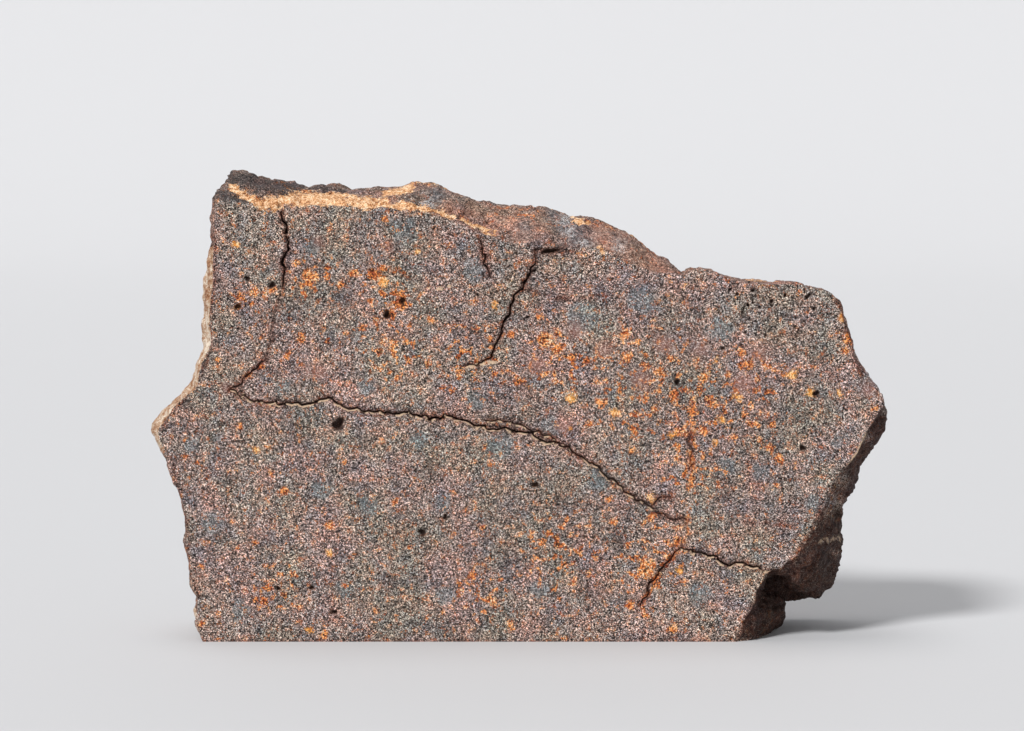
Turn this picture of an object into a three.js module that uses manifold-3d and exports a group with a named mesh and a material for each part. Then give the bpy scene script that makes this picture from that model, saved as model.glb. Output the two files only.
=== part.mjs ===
// A thick slice of olivine-rich stone, sawn flat in front, behind and underneath, with natural and broken edges.
// Millimetres. +Z is up, the sawn front face looks along -Y, and the slice stands on its sawn underside.
// The origin is the middle of the bounding box at the underside.

import * as THREE from "three";
import { ImprovedNoise } from "three/addons/math/ImprovedNoise.js";
import { mergeVertices } from "three/addons/utils/BufferGeometryUtils.js";
import Module from "manifold-3d";

const wasm = await Module();
wasm.setup();

// Driving dimensions. The slice is about 91 mm long and 58 mm high.
const THICKNESS = 18;
const RIM_STEP = 1.2; // spacing of the points round the rim
const RINGS = 12; // rings of points from the front face to the back face
const SHOULDER_DEPTH = 1.6; // how far behind the front face the edge starts to round
const SHOULDER_SHARE = 0.45; // how much of the way to the crest is reached there
const CRACK_DEPTH = 1.3;
const CUTTER_OVERSHOOT = 1; // how far a cutter stands out of the face that it cuts

// The rim, clockwise as seen from the front, in stretches. Each corner has its place on the sawn face, [x, z],
// and the crest of the natural edge behind it, [x, y, z]. A shoulder is given where the edge is undercut.
// inset says how much smaller the sawn back face is than the crest there.
const CRUSTED_LEFT_SIDE = {
  inset: 2.2,
  corners: [
    { face: [-38.7, 0], crest: [-38.4, 9, 0] },
    { face: [-39.5, 2.3], crest: [-39.3, 9, 2.3] },
    { face: [-39.1, 5.3], crest: [-39.3, 9, 5.3] },
    { face: [-40.2, 9.3], crest: [-39.8, 9, 9.3] },
    { face: [-40.4, 14.1], crest: [-40.1, 9, 14.1] },
    { face: [-41.6, 18.8], crest: [-41.4, 9, 18.8] },
    { face: [-43, 23.5], crest: [-43.3, 9, 23.5] },
    { face: [-43.8, 26.6], crest: [-44.6, 2, 26.4] },
    { face: [-42.2, 29.5], crest: [-43.2, 2, 28.7] },
    { face: [-39.2, 31.8], crest: [-40.3, 2.5, 31.3] },
    { face: [-38.5, 33.6], crest: [-39.7, 3, 32.9] },
    { face: [-37.3, 36.7], crest: [-38.5, 3, 36.5] },
    { face: [-37.7, 40.3], crest: [-38.8, 3, 39.9] },
    { face: [-36.9, 45.9], crest: [-38.2, 3, 44.8] },
    { face: [-36.7, 50.8], crest: [-37.2, 3, 50.1] },
    { face: [-36.8, 55.1], crest: [-36.7, 4, 56.2] },
  ],
};
const WEATHERED_TOP = {
  inset: 1.4,
  corners: [
    { face: [-34.9, 54.8], crest: [-35, 6, 58.5] },
    { face: [-32.5, 54.4], crest: [-32.8, 7, 58.2] },
    { face: [-27.4, 54.3], crest: [-28.6, 8, 57.1] },
    { face: [-23.7, 54.6], crest: [-24.5, 8, 56.4] },
    { face: [-18, 54.2], crest: [-18.6, 10, 56.4] },
    { face: [-13.1, 53.5], crest: [-12.9, 12, 57.5] },
    { face: [-8.5, 52.8], crest: [-9.2, 12, 57.1] },
    { face: [-4.2, 51.2], crest: [-5.7, 11, 55.6] },
    { face: [-0.9, 49.6], crest: [-1.5, 11, 54.4] },
    { face: [3.5, 48.8], crest: [3.6, 12, 53.7] },
    { face: [8.9, 48.7], crest: [9.2, 13, 52.8] },
    { face: [11.8, 48.1], crest: [11.9, 15, 51.9] },
    { face: [14.6, 47.2], crest: [14.2, 16, 50.9] },
    { face: [17.5, 46.1], crest: [16.7, 16, 49.1] },
    { face: [19.9, 46.1], crest: [19.6, 14, 46.9] },
  ],
};
const RIGHT_EDGE = {
  inset: 1.8,
  corners: [
    { face: [21.2, 45.7], crest: [21.6, 9, 45.3] },
    { face: [22.3, 46.4], crest: [22.3, 9, 46.1] },
    { face: [23.8, 46.5], crest: [23.8, 9, 46.1] },
    { face: [24.8, 46], crest: [24.8, 9, 45.8] },
    { face: [26.7, 45.4], crest: [27.1, 5, 45.4] },
    { face: [29.2, 44.8], crest: [29.7, 6, 44.9] },
    { face: [34.4, 44.9], crest: [35, 6, 44.9] },
    { face: [37.4, 44.4], crest: [37.1, 9, 43.8] },
    { face: [39.4, 43.8], crest: [39, 9, 43.2] },
    { face: [40.4, 42.5], crest: [40.1, 9, 42.2] },
    { face: [41.3, 40], crest: [41.6, 9, 40] },
    { face: [42.2, 37.2], crest: [42.6, 9, 37.2] },
    { face: [42.4, 35.6], crest: [42.7, 9, 35.6] },
    { face: [43.3, 33.5], crest: [43.7, 9, 33.5] },
    { face: [44.8, 31.6], crest: [45.1, 9, 31.6] },
    { face: [45.8, 29.8], crest: [46.7, 3, 28.8] },
  ],
};
const UPPER_BREAK = {
  inset: 1.2,
  corners: [
    { face: [45.2, 28.6], crest: [46.9, 4, 27.7] },
    { face: [44.1, 26.2], crest: [45.9, 6, 24.6] },
    { face: [42.9, 23.5], crest: [44.3, 9, 21.3] },
    { face: [40.3, 20.6], crest: [43.4, 11, 18.5] },
    { face: [38.6, 17.6], crest: [42.1, 12, 15.7] },
    { face: [36.4, 13.8], crest: [42.9, 14, 11.4] },
    { face: [34.2, 10.8], crest: [42.4, 14, 8.4] },
    { face: [33.4, 9.8], crest: [41.6, 14, 5.4] },
    { face: [32.7, 9.2], crest: [40.4, 14, 3.7] },
    { face: [31.9, 8.6], crest: [37.6, 14, 3.1], shoulder: [33.4, 9, 7] },
  ],
};
const LOWER_BREAK = {
  inset: 1.2,
  corners: [
    { face: [31.7, 8.2], crest: [34.9, 13, 3.2], shoulder: [32.2, 8.5, 6.6] },
    { face: [29.7, 5], crest: [34.2, 8, 2.5] },
    { face: [28.6, 2.5], crest: [34.1, 8, 0.7] },
    { face: [28, 0], crest: [33, 8, 0] },
  ],
};
const RIM = [CRUSTED_LEFT_SIDE, WEATHERED_TOP, RIGHT_EDGE, UPPER_BREAK, LOWER_BREAK];
const MIDDLE = [0, 27]; // about the middle of the sawn face, [x, z]

// Roughness of the natural edges: size of the lumps and how far they stand out.
const ROUGHNESS = [
  { size: 9, height: 1 },
  { size: 4, height: 0.7 },
  { size: 2.2, height: 0.4 },
];
const RIM_JAG = { size: 1.9, height: 0.22 }; // of the sharp edge of each sawn face

// Cracks that open on the front face: the widest opening of each, and its course, [x, z].
const CRACKS = [
  {
    width: 0.55,
    course: [
      [-35, 31.6], [-33.5, 31], [-31.1, 30.1], [-27.6, 29.8], [-23.6, 30.2], [-22.1, 30.3], [-20.6, 29.3],
      [-17.6, 28.8], [-13.9, 28.8], [-10.4, 28.1], [-8, 28.3], [-4, 27.1], [-0.6, 26.6], [2.2, 25.8],
      [6.7, 24.5], [8.7, 23], [10.7, 21.6], [12.7, 20], [16.1, 17.5], [17.6, 16.7],
    ],
  },
  { width: 0.5, course: [[21.1, 11.8], [25.1, 10.9], [26.7, 9.7], [29, 9.8], [30.6, 9.4]] },
  { width: 0.35, course: [[21.4, 12], [20.6, 11.2], [19.7, 10.3], [18.8, 9.3]] },
  { width: 0.8, course: [[-28.7, 53.4], [-28.3, 52.3], [-27.8, 50.8], [-27.8, 49], [-28.3, 47.7], [-28.4, 44.5]] },
  { width: 0.35, course: [[-30.5, 35.4], [-32, 33.9], [-33.5, 32.7], [-35.2, 31.4]] },
  { width: 0.45, course: [[-4.1, 50], [-3.7, 48.7], [-3.3, 47.2], [-2.7, 45.6]] },
  {
    width: 0.6,
    course: [
      [2.7, 48], [2.8, 47.2], [2.4, 45.9], [1, 43.9], [-0.4, 41.8], [-1, 39.5], [-1.9, 37.2], [-2.5, 35.6],
      [-4.1, 35.1], [-5.8, 34.6],
    ],
  },
];
const CRACK_KINK = 0.25; // how far a crack wanders between the points of its course

// Holes that the saw opened on the front face: place, [x, z], and radius.
const PITS = [
  { at: [-21.6, 27.3], radius: 1.05 },
  { at: [2.9, 19.7], radius: 0.6 },
  { at: [-11.2, 13.7], radius: 0.7 },
  { at: [-8.3, 15.7], radius: 0.5 },
  { at: [-25, 6.8], radius: 0.5 },
  { at: [-29.2, 6.7], radius: 0.5 },
  { at: [-22.2, 3.7], radius: 0.5 },
  { at: [-32.8, 45.4], radius: 0.5 },
  { at: [-29.7, 44.6], radius: 0.6 },
  { at: [-34, 41.9], radius: 0.6 },
  { at: [-15.5, 40.9], radius: 0.75 },
  { at: [-13.6, 42.6], radius: 0.6 },
  { at: [37.8, 31.1], radius: 0.7 },
  { at: [36.2, 24.3], radius: 0.6 },
  { at: [20.5, 32.5], radius: 0.7 },
];
const PIT_DETAIL = 1; // subdivisions of the icosahedron that cuts a pit

const noise = new ImprovedNoise();

// Smooth noise from -1 to 1 at a point, with lumps of the given size. The seed picks another pattern.
function lump(point, size, seed = 0) {
  return noise.noise(point.x / size + seed, point.y / size + seed, point.z / size - seed);
}

// The curve from the front face over the shoulder and the crest to the back face at one corner of the rim.
function edgeCurve({ face, crest, shoulder }, inset) {
  const front = new THREE.Vector3(face[0], 0, face[1]);
  const top = new THREE.Vector3(...crest);
  const depth = Math.min(SHOULDER_DEPTH, top.y / 2);
  const start = shoulder
    ? new THREE.Vector3(...shoulder)
    : front.clone().lerp(top, SHOULDER_SHARE).setY(depth);
  const back = new THREE.Vector3(MIDDLE[0] - top.x, 0, MIDDLE[1] - top.z);
  back.setLength(inset).add(top).setY(THICKNESS);
  if (top.z === 0) back.z = 0;
  return new THREE.CatmullRomCurve3([front, start, top, back]);
}

// The points round one ring, at the share t of the way along the edge curves, with RIM_STEP between them.
function ringPoints(curves, t) {
  const points = [];
  curves.forEach((curve, i) => {
    const next = curves[(i + 1) % curves.length];
    const steps = Math.max(1, Math.round(curve.points[0].distanceTo(next.points[0]) / RIM_STEP));
    const from = curve.getPoint(t);
    const to = next.getPoint(t);
    for (let s = 0; s < steps; s++) points.push(from.clone().lerp(to, s / steps));
  });
  return points;
}

// Joins the rings into a wall, and closes it with a flat cap at each end.
function loft(rings) {
  const count = rings[0].length;
  const positions = rings.flat().flatMap((p) => [p.x, p.y, p.z]);
  const index = [];
  for (let r = 0; r + 1 < rings.length; r++) {
    for (let i = 0; i < count; i++) {
      const j = (i + 1) % count;
      const [a, b, c, d] = [r * count + i, r * count + j, (r + 1) * count + i, (r + 1) * count + j];
      if ((r + i) % 2) index.push(a, b, c, b, d, c);
      else index.push(a, d, c, a, b, d);
    }
  }
  const last = (rings.length - 1) * count;
  const cap = (ring) => THREE.ShapeUtils.triangulateShape(ring.map((p) => new THREE.Vector2(p.x, p.z)), []);
  for (const [a, b, c] of cap(rings[0])) index.push(a, b, c);
  for (const [a, b, c] of cap(rings.at(-1))) index.push(last + a, last + c, last + b);
  const geometry = new THREE.BufferGeometry();
  geometry.setAttribute("position", new THREE.Float32BufferAttribute(positions, 3));
  geometry.setIndex(index);
  return geometry;
}

// Moves the points of the natural edges in and out. The sawn faces stay flat, and the underside stays at z = 0.
function roughen(geometry, ringLength) {
  geometry.computeVertexNormals();
  const place = geometry.attributes.position;
  const normal = geometry.attributes.normal;
  const point = new THREE.Vector3();
  const out = new THREE.Vector3();
  for (let i = 0; i < place.count; i++) {
    point.fromBufferAttribute(place, i);
    if (point.z <= 0) continue;
    out.fromBufferAttribute(normal, i);
    const atRim = i < ringLength || i >= place.count - ringLength;
    const waves = atRim ? [RIM_JAG] : ROUGHNESS;
    if (atRim) out.setY(0).normalize();
    const fade = THREE.MathUtils.smoothstep(point.z, 0, 3);
    const rise = waves.reduce((sum, { size, height }) => sum + height * lump(point, size, size), 0);
    const limit = point.y;
    point.addScaledVector(out, rise * fade);
    if (!atRim) point.y = THREE.MathUtils.clamp(point.y, limit * 0.6, (THICKNESS + limit) / 2);
    point.z = Math.max(point.z, 0);
    place.setXYZ(i, point.x, point.y, point.z);
  }
}

// A crack's outline: down one side of its course and back up the other, widest in the middle.
function crackOutline({ width, course }) {
  const line = [];
  course.slice(1).forEach((end, i) => {
    const from = new THREE.Vector2(...course[i]);
    const to = new THREE.Vector2(...end);
    const side = to.clone().sub(from).rotateAround(new THREE.Vector2(), Math.PI / 2).normalize();
    const kink = CRACK_KINK * (i % 2 ? 1 : -1);
    line.push(from, from.clone().lerp(to, 0.5).addScaledVector(side, kink));
    if (i === course.length - 2) line.push(to);
  });
  const left = [];
  const right = [];
  line.forEach((point, i) => {
    const along = line[Math.min(i + 1, line.length - 1)].clone().sub(line[Math.max(i - 1, 0)]).normalize();
    const across = new THREE.Vector2(-along.y, along.x);
    const half = (width / 2) * Math.sqrt(Math.sin((Math.PI * (i + 0.3)) / (line.length - 0.4)));
    left.push(point.clone().addScaledVector(across, half));
    right.unshift(point.clone().addScaledVector(across, -half));
  });
  return new THREE.Shape([...left, ...right]);
}

function crackCutter(crack) {
  const depth = CRACK_DEPTH + CUTTER_OVERSHOOT;
  const cutter = new THREE.ExtrudeGeometry(crackOutline(crack), { depth, bevelEnabled: false });
  return cutter.rotateX(Math.PI / 2).translate(0, CRACK_DEPTH, 0);
}

function pitCutter({ at, radius }) {
  return new THREE.IcosahedronGeometry(radius, PIT_DETAIL)
    .rotateY(at[0])
    .scale(1, 1.2, 0.85)
    .translate(at[0], 0, at[1]);
}

function solidFrom(geometry) {
  const bare = geometry.clone();
  bare.deleteAttribute("normal");
  bare.deleteAttribute("uv");
  const merged = mergeVertices(bare, 1e-4);
  const vertProperties = merged.attributes.position.array;
  const triVerts = new Uint32Array(merged.index.array);
  return new wasm.Manifold(new wasm.Mesh({ numProp: 3, vertProperties, triVerts }));
}

function geometryFrom(solid) {
  const { vertProperties, triVerts } = solid.getMesh();
  const geometry = new THREE.BufferGeometry();
  geometry.setAttribute("position", new THREE.BufferAttribute(vertProperties, 3));
  geometry.setIndex(new THREE.BufferAttribute(triVerts, 1));
  return geometry;
}

function slice() {
  const curves = RIM.flatMap(({ inset, corners }) => corners.map((corner) => edgeCurve(corner, inset)));
  const rings = Array.from({ length: RINGS + 1 }, (_, r) => ringPoints(curves, r / RINGS));
  const body = loft(rings);
  roughen(body, rings[0].length);
  const cutters = [...CRACKS.map(crackCutter), ...PITS.map(pitCutter)];
  const cut = cutters.reduce((solid, cutter) => solid.subtract(solidFrom(cutter)), solidFrom(body));
  const geometry = geometryFrom(cut);
  geometry.computeBoundingBox();
  const { min, max } = geometry.boundingBox;
  return geometry.translate(-(min.x + max.x) / 2, -(min.y + max.y) / 2, -min.z);
}

const stone = new THREE.Mesh(
  slice(),
  new THREE.MeshStandardMaterial({ color: 0x77706a, roughness: 0.9, metalness: 0 }),
);
stone.name = "olivine_stone";

const part = new THREE.Group();
part.add(stone);

export default part;
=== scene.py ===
"""Looks of a thick sawn slice of olivine-rich stone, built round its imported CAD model."""

import math
import random

import bpy
import numpy as np
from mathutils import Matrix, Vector, noise
from mathutils.geometry import delaunay_2d_cdt


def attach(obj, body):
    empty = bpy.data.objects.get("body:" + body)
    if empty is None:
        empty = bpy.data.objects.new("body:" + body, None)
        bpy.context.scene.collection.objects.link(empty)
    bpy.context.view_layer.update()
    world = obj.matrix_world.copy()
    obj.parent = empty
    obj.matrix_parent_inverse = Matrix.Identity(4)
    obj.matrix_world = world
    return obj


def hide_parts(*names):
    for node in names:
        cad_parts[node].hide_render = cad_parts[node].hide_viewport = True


MM = 0.001

# Places on the stone are in the drawing's millimetres: x to the right of the middle of the picture,
# depth behind the sawn front face, and z above the sawn underside.
FOOT_CORNER = -38.7  # x of the left end of the underside's front edge, which the frame is tied to
THICKNESS = 18

# The camera that took the picture, in the drawing's millimetres.
CAMERA_AT = (0, -352.1, 59.3)
CAMERA_AIM = (0, 0, 34.6)
LENS = 100
SENSOR = 36
PICTURE = (1024, 731)

# Mesh.
VOXEL = 0.33
RIM_BAND = 0.5  # how far inside its outline a sawn face is laid anew
HOLLOW_REACH = 2.6  # cracks and pits of the CAD model are shallower than this
FRONT_SPACING = 0.42
PLAIN_SPACING = 2.5  # on the back and the underside
CRACK_CLEARANCE = 0.45  # grid points keep this far from a crack, which has its own points
EDGE_CLEARANCE = 0.12  # points of cracks and pits keep this far from the edge
ROW_STEP = 0.866  # from row to row of a triangular grid whose points are 1 apart
ON_SIDE = 0.02  # a point this near to a flat side is on it
FACE_RELIEF = 0.02  # roughness of the sawn face
BATCH = 4000  # points measured at a time

# Cracks: widest opening, depth and course, [x, z]. All but the band, the fibres, the ledge and the
# second follow those of the CAD model.
CRACKS = {
    "long": (0.15, 1.1, [
        (-35, 31.6), (-33.5, 31), (-31.1, 30.1), (-27.6, 29.8), (-23.6, 30.2), (-22.1, 30.3),
        (-20.6, 29.3), (-17.6, 28.8), (-13.9, 28.8), (-10.4, 28.1), (-8, 28.3), (-4, 27.1),
        (-0.6, 26.6), (2.2, 25.8), (6.7, 24.5), (8.7, 23), (10.7, 21.6), (12.7, 20), (16.1, 17.5),
        (17.6, 16.7),
    ]),
    "foot": (0.24, 1.1, [(21.1, 11.8), (25.1, 10.9), (26.7, 9.7), (29, 9.8), (30.6, 9.4), (32.4, 8.6)]),
    "foot_left": (0.16, 0.7, [
        (21.4, 12), (20.6, 11.2), (19.7, 10.3), (18.8, 9.3), (17.9, 8), (16.8, 6.2), (16, 4.6),
    ]),
    "band": (0.07, 0.2, [(22.3, 26.5), (22.2, 24.2), (22.1, 21.5)]),
    "fibres": (0.14, 0.4, [(17.8, 16.2), (19.5, 15.6), (21.8, 15.3)]),
    "fibres_top": (0.16, 0.4, [(17.6, 17.2), (18.6, 18), (19.8, 18.1)]),
    "ledge": (0.42, 0.9, [(2.7, 49), (3.6, 48.7), (4.7, 48.7), (5.8, 49), (6.6, 49.3)]),
    "top_left": (0.3, 1.2, [
        (-28.9, 54.6), (-28.3, 52.3), (-27.8, 50.8), (-27.8, 49), (-28.3, 47.7), (-28.4, 44.5),
    ]),
    "low_left": (0.13, 0.6, [(-30.5, 35.4), (-32, 33.9), (-33.5, 32.7), (-35.2, 31.4)]),
    "short": (0.2, 0.8, [(-4.1, 50.6), (-3.7, 48.7), (-3.3, 47.2), (-2.7, 45.6)]),
    "centre": (0.22, 1.1, [
        (2.7, 49), (2.8, 47.5), (2.4, 45.9), (1, 43.9), (-0.4, 41.8), (-1, 39.5), (-1.9, 37.2),
        (-2.5, 35.6), (-4.1, 35.1), (-5.8, 34.6),
    ]),
    "second": (0.13, 0.5, [(-3.3, 27.7), (-0.6, 27.6), (2, 26.8), (4.7, 25.6), (6.7, 24.6)]),
}
CRACK_STEP = 0.22
CRACK_WANDER = 0.75
CRACK_FADE = 4  # steps at each end in which a crack comes to stray

# Pits: place, [x, z], radius and depth.
PITS = [
    (-21.6, 27.3, 0.95, 1.1), (2.9, 19.7, 0.5, 0.6), (-11.2, 13.7, 0.6, 0.7),
    (-8.3, 15.7, 0.4, 0.5), (-25, 6.8, 0.4, 0.5), (-29.2, 6.7, 0.35, 0.5), (-22.2, 3.7, 0.45, 0.5),
    (-32.8, 45.4, 0.45, 0.5), (-29.7, 44.6, 0.5, 0.6), (-34, 41.9, 0.5, 0.6),
    (-15.5, 40.9, 0.6, 0.8), (-13.6, 42.6, 0.5, 0.6), (-28.7, 7.4, 0.22, 0.4), (-30, 8.4, 0.2, 0.4),
    (-26.4, 6.6, 0.26, 0.4), (-27.4, 5.1, 0.2, 0.4), (-23.3, 4.4, 0.22, 0.4),
    (-24.3, 4.5, 0.18, 0.3), (37.8, 31.1, 0.5, 0.6), (36.2, 24.3, 0.5, 0.6),
    (20.5, 32.5, 0.45, 0.6),
]
SMALL_PITS = 300
SMALLEST_RADIUS = 0.12
RADIUS_RANGE = 0.19
SMALL_PIT_DEPTH = 1.6  # times the radius
PIT_MARGIN = 0.8  # from the edge of the face
SMALL_PIT_FIELDS = [(34, 41.5, 7, 3.5), (-5, 46, 14, 6), (0, 30, 40, 25)]  # x, z and reach in x, z

# Marks on the stone, in pixels of the picture: middle and radius of each spot.
DEEP_RED = [
    (373, 274, 7), (397, 303, 6), (390, 315, 6), (301, 338, 5), (185, 457, 4), (197, 461, 3),
    (256, 600, 4), (678, 541, 5), (848, 338, 6), (239, 548, 3), (328, 341, 4), (289, 320, 3),
    (402, 301, 5), (845, 350, 5), (205, 479, 3), (696, 409, 4), (262, 336, 3), (382, 268, 4),
    (520, 382, 4), (662, 380, 3), (752, 424, 4),
]
ORANGE = [
    (385, 219, 4), (239, 296, 6), (254, 292, 5), (238, 307, 5), (307, 273, 5), (300, 286, 4),
    (310, 279, 6), (327, 268, 4), (327, 276, 4), (341, 284, 4), (354, 273, 5), (382, 279, 5),
    (273, 290, 4), (403, 305, 6), (296, 264, 5), (375, 321, 4), (362, 327, 4), (346, 333, 4),
    (382, 342, 4), (390, 347, 4), (288, 355, 4), (301, 366, 4), (261, 367, 4), (218, 359, 3),
    (408, 360, 4), (428, 362, 4), (491, 339, 5), (511, 335, 4), (380, 370, 4), (460, 371, 5),
    (397, 378, 4), (443, 387, 4), (472, 303, 4), (431, 320, 4), (545, 340, 9), (556, 350, 7),
    (539, 318, 5), (571, 358, 5), (587, 361, 6), (625, 334, 6), (627, 358, 6), (660, 372, 5),
    (704, 377, 6), (709, 369, 4), (697, 360, 4), (673, 395, 7), (710, 401, 6), (716, 405, 4),
    (694, 414, 5), (772, 424, 4), (759, 440, 4), (590, 423, 5), (633, 451, 5), (609, 499, 4),
    (614, 521, 4), (651, 518, 6), (646, 569, 10), (668, 558, 6), (542, 542, 5), (558, 545, 5),
    (595, 556, 4), (492, 601, 5), (574, 582, 4), (630, 606, 5), (646, 615, 5), (673, 628, 5),
    (564, 639, 4), (510, 624, 4), (185, 440, 4), (239, 427, 5), (269, 446, 4), (339, 450, 3),
    (344, 462, 4), (382, 440, 4), (491, 463, 4), (484, 447, 3), (271, 474, 4), (284, 491, 4),
    (232, 521, 3), (255, 542, 4), (395, 502, 4), (330, 525, 5), (482, 527, 4), (353, 553, 3),
    (364, 552, 3), (409, 547, 3), (201, 567, 4), (269, 588, 4), (264, 601, 5), (347, 585, 4),
    (471, 576, 6), (300, 606, 4), (375, 611, 4), (443, 612, 3), (493, 602, 4), (202, 623, 4),
    (511, 627, 4), (324, 635, 4), (776, 485, 3), (877, 409, 4), (209, 385, 3), (249, 376, 4),
    (634, 430, 6), (748, 365, 6), (740, 352, 5), (600, 402, 4), (681, 431, 6), (703, 430, 6),
    (655, 410, 5), (771, 447, 5), (779, 458, 4), (700, 388, 6),
]
YELLOW = [
    (417, 251, 4), (495, 305, 5), (571, 398, 6), (614, 413, 5), (811, 393, 6), (839, 393, 5),
    (793, 374, 6), (842, 318, 4), (651, 499, 5), (680, 572, 5), (330, 553, 5), (310, 630, 5),
    (386, 282, 5), (571, 428, 4), (256, 450, 4), (236, 244, 5), (722, 420, 5), (738, 398, 5),
    (716, 442, 5), (671, 436, 5), (716, 360, 4),
]
PINK = [
    (319, 242, 6), (224, 388, 6), (759, 353, 8), (868, 390, 7), (387, 245, 5), (565, 425, 8),
    (536, 366, 8), (603, 350, 9), (664, 345, 9), (744, 385, 10), (575, 330, 8), (640, 380, 10),
    (700, 350, 8), (318, 372, 8),
]
# Wide patches where rust is scattered between the grains.
RUSTY_FIELDS = [
    (640, 380, 75), (740, 400, 55), (560, 360, 45), (690, 460, 50), (650, 560, 55), (390, 290, 40),
    (310, 280, 30), (250, 300, 24), (560, 550, 55), (470, 360, 50), (280, 590, 36), (480, 590, 38),
    (390, 350, 45),
]
# Rust, stains and cream along lines, with one painted shadow among the stains: half width and course.
RUST_LINES = [
    (2.5, [(507, 372), (520, 378), (530, 388)]),
    (4, [(693, 398), (690, 420), (694, 436)]),
    (3.5, [(691, 452), (692, 470), (689, 492)]),
    (3, [(688, 506), (689, 520), (683, 545)]),
    (4, [(641, 606), (650, 590), (660, 574)]),
    (3, [(668, 562), (678, 552)]),
    (3, [(764, 446), (781, 464)]),
    (3, [(756, 353), (775, 372), (790, 378)]),
]
STAIN_AND_SHADOW_LINES = [
    (2.6, [(283, 286), (279, 303), (274, 320), (272, 339), (266, 359), (254, 371)]),
    (1.8, [(390, 271), (407, 276), (428, 280)]),
    (1.8, [(520, 288), (558, 299), (587, 299), (606, 294)]),
    (2.0, [(202, 642), (400, 642), (600, 641), (736, 641)]),
    (1.5, [(172, 455), (178, 492), (188, 530), (190, 568), (199, 600)]),
    (2.0, [(214, 235), (214, 275), (209, 320), (211, 349), (200, 376)]),
    (2.0, [(200, 376), (186, 398), (170, 410), (162, 430)]),
    (2.5, [(838, 300), (846, 322), (853, 345), (855, 358), (862, 375)]),
    (1.5, [(729, 521), (760, 523), (796, 527)]),
    # Painted shadow: a dark line under the ledge at the top of the middle crack.
    (3.0, [(535, 252), (555, 252), (572, 252)]),
    (2.5, [(738, 640), (752, 606), (770, 582)]),
    (2.5, [(797, 556), (812, 530), (824, 502)]),
]
TAN_LINES = [
    (1.2, [(497, 361), (479, 364), (465, 368)]),
    (1.0, [(867, 433), (857, 452), (848, 466)]),
    (1.0, [(432, 291), (442, 288), (452, 286)]),
]
# Rounded mineral bodies in the stone: middle and radius.
PALE_BODIES = [
    (550, 427, 10), (501, 446, 14), (213, 522, 11), (365, 387, 8), (443, 501, 8), (368, 508, 9),
    (445, 596, 9), (633, 431, 7), (761, 472, 9), (725, 467, 10), (283, 387, 7), (190, 445, 8),
    (312, 247, 8), (583, 317, 15), (720, 330, 13), (640, 300, 14), (476, 400, 9), (322, 490, 10),
    (840, 440, 9), (600, 480, 11), (540, 590, 10), (420, 440, 9), (240, 610, 9), (700, 595, 12),
    (813, 505, 10), (404, 232, 13), (474, 270, 12), (345, 590, 9),
]
DARK_BODIES = [
    (543, 624, 9), (297, 300, 10), (345, 300, 11), (676, 382, 5), (266, 540, 9), (430, 470, 10),
    (505, 560, 11), (590, 590, 12), (730, 490, 12), (360, 440, 10), (300, 430, 11), (816, 350, 12),
    (470, 330, 11), (770, 330, 9), (617, 540, 10), (390, 580, 10), (232, 480, 9), (620, 250, 4),
    (815, 398, 4), (450, 630, 9), (560, 500, 10),
]
# The tan rind along the top, and what shows above it.
RIND = [
    (4.5, [(233, 187), (248, 197), (258, 203)]),
    (8, [(262, 204), (275, 203)]),
    (7.5, [(284, 199), (310, 199), (345, 200), (372, 203)]),
    (4.4, [(380, 203), (410, 206)]),
    (3.4, [(410, 206), (436, 211), (452, 216)]),
    (4.5, [(385, 193), (400, 190), (412, 187)]),
    (2.2, [(462, 220), (476, 226), (494, 233)]),
    (3.6, [(599, 247), (603, 253)]),
    (2.6, [(570, 217), (590, 223)]),
]
LAYERED_ROCK = [
    (9, [(232, 178), (262, 184), (296, 188)]),
    (9, [(220, 196), (236, 203)]),
    (3, [(300, 189), (345, 189)]),
]
GREY_PATCHES = [
    (437, 196, 9), (430, 202, 7), (564, 226, 10), (576, 236, 11), (588, 243, 10), (553, 216, 7),
    (524, 230, 8), (620, 243, 8),
]
ROSY = [
    (603, 232, 9), (606, 243, 12), (600, 252, 9), (598, 240, 8), (622, 236, 9), (626, 250, 10),
    (640, 256, 11), (655, 264, 11), (646, 270, 9), (664, 270, 8), (540, 226, 8), (510, 222, 9),
    (520, 236, 9), (448, 206, 7), (470, 213, 8), (492, 222, 8),
]
WHITE_PATCHES = [(428, 203, 6), (565, 219, 6), (570, 231, 5), (584, 243, 5), (620, 247, 6)]
# Paler grain and a vein on the dark broken faces.
BREAK_GRAIN = [
    (840, 480, 8), (828, 493, 7), (838, 503, 7), (829, 513, 6), (836, 553, 3), (868, 440, 4),
    (800, 600, 4),
]
BREAK_VEIN = [(1.3, [(818, 543), (823, 540), (829, 542), (835, 538), (841, 538)])]
# The cream crust on the left side: half width and course.
CRUST = [
    (7, [(214, 252), (208, 275), (206, 300), (204, 330), (203, 350)]),
    (6, [(200, 360), (196, 380), (190, 392)]),
    (8, [(186, 396), (172, 406), (158, 425), (160, 445)]),
    (3, [(190, 608), (198, 616)]),
]


def smooth(low, high, value):
    """0 below low, 1 above high, and a smooth step between them."""
    share = np.clip((np.asarray(value, float) - low) / (high - low), 0, 1)
    return share * share * (3 - 2 * share)


class Drawing:
    """Turns the drawing's millimetres into the frame's metres and back."""

    def __init__(self, node):
        points = np.array([v.co for v in node.data.vertices])
        self.front = points[:, 1].min()
        on_edge = (points[:, 1] < self.front + 1e-6) & (points[:, 2] < 1e-6)
        self.left = points[on_edge, 0].min() - FOOT_CORNER * MM

    def to_frame(self, places):
        return np.asarray(places, float) * MM + (self.left, self.front, 0)

    def from_frame(self, points):
        return (np.asarray(points, float) - (self.left, self.front, 0)) / MM


# Flat sides of the CAD model


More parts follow.
